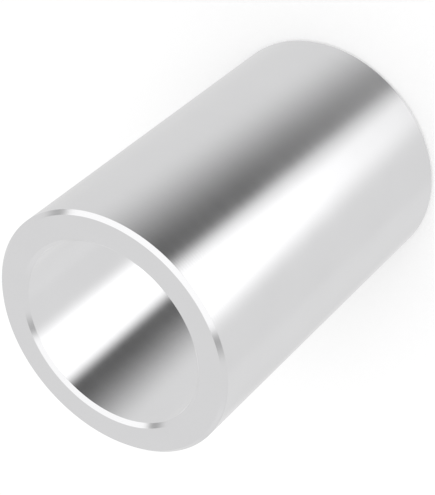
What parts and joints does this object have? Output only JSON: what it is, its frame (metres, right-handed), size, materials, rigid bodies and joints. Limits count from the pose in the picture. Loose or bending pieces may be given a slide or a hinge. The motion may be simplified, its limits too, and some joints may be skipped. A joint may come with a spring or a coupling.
{
  "type": "spacer sleeve",
  "caption": "Plain round tube with flat square ends and chamfered rims that holds two parts a set distance apart on a bolt or shaft.",
  "frame": {"origin": "on the sleeve's axis, in the plane of the end face that it stands on", "axes": "+Z along the sleeve's axis, from the end it stands on to the other end; X and Y are free, as the sleeve is round"},
  "size_m": [0.02, 0.02, 0.03],
  "materials": {
    "bright_steel": "bright, fine turned"
  },
  "bodies": {
    "root": {"sleeve": "bright_steel"}
  },
  "joints": []
}
